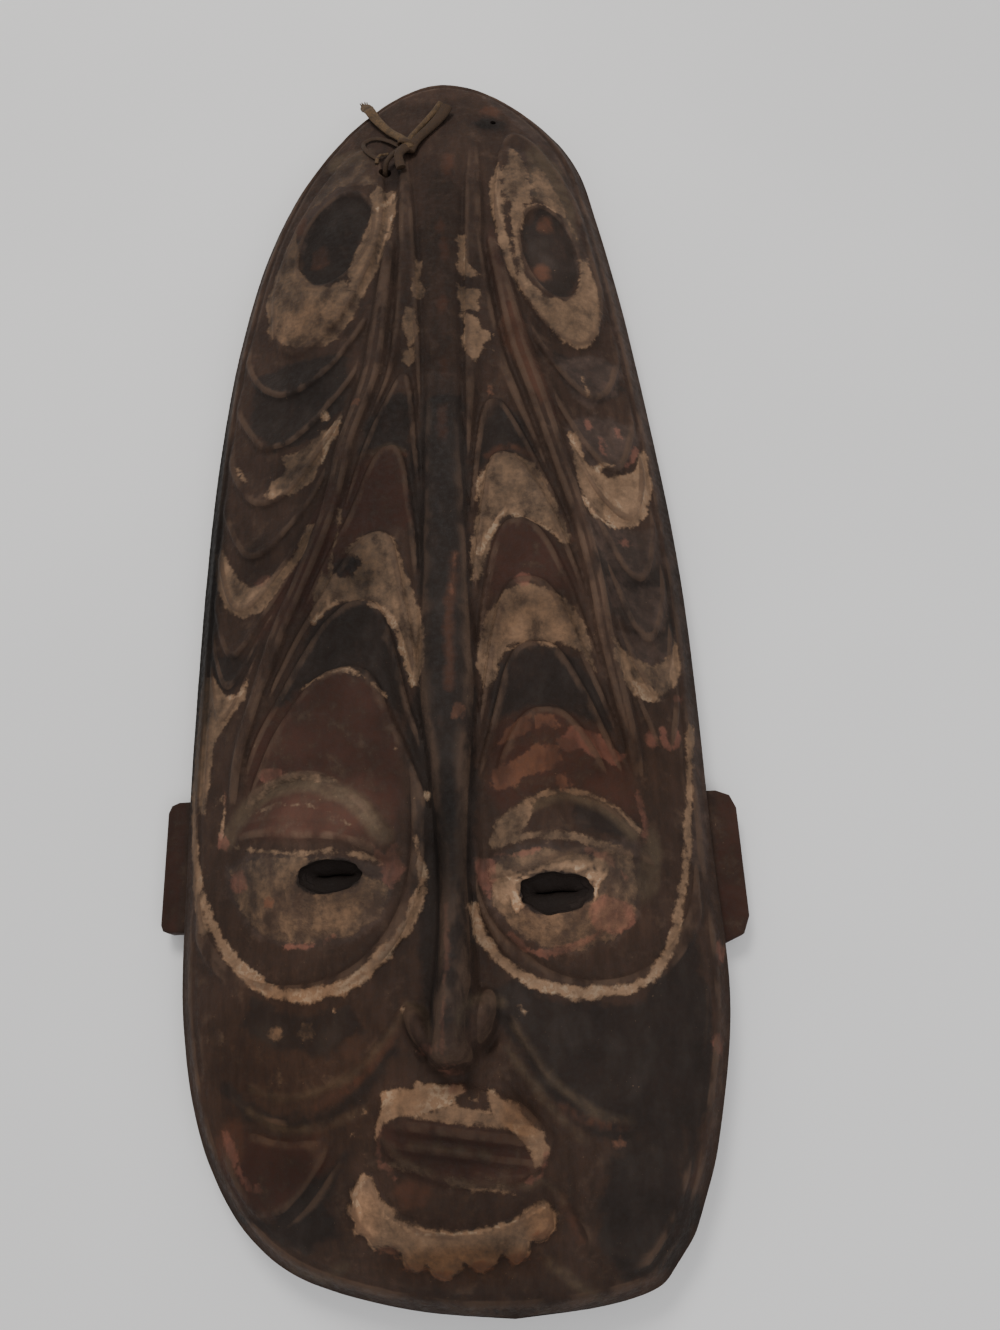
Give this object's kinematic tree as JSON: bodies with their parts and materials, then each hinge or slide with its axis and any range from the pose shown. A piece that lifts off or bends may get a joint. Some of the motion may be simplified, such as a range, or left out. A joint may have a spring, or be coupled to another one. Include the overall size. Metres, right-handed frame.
{
  "type": "ancestor mask",
  "caption": "Long carved wooden spirit mask, hollow behind, with pierced eyes, lug ears, ribbed and scaled relief and a knotted cane tie.",
  "frame": {"origin": "middle of the box at the plane of the flat back rim, on which the mask lies", "axes": "+X to the viewer's right, +Y to the top of the mask, +Z out of the face"},
  "size_m": [0.374, 0.9, 0.1057],
  "materials": {
    "painted_wood": "dark brown and black earth paint with worn white, ochre and pink areas, dry and chipped",
    "split_cane": "weathered split cane, matt"
  },
  "bodies": {
    "root": {"carved_mask": "painted_wood", "hanging_tie": "split_cane"}
  },
  "joints": []
}
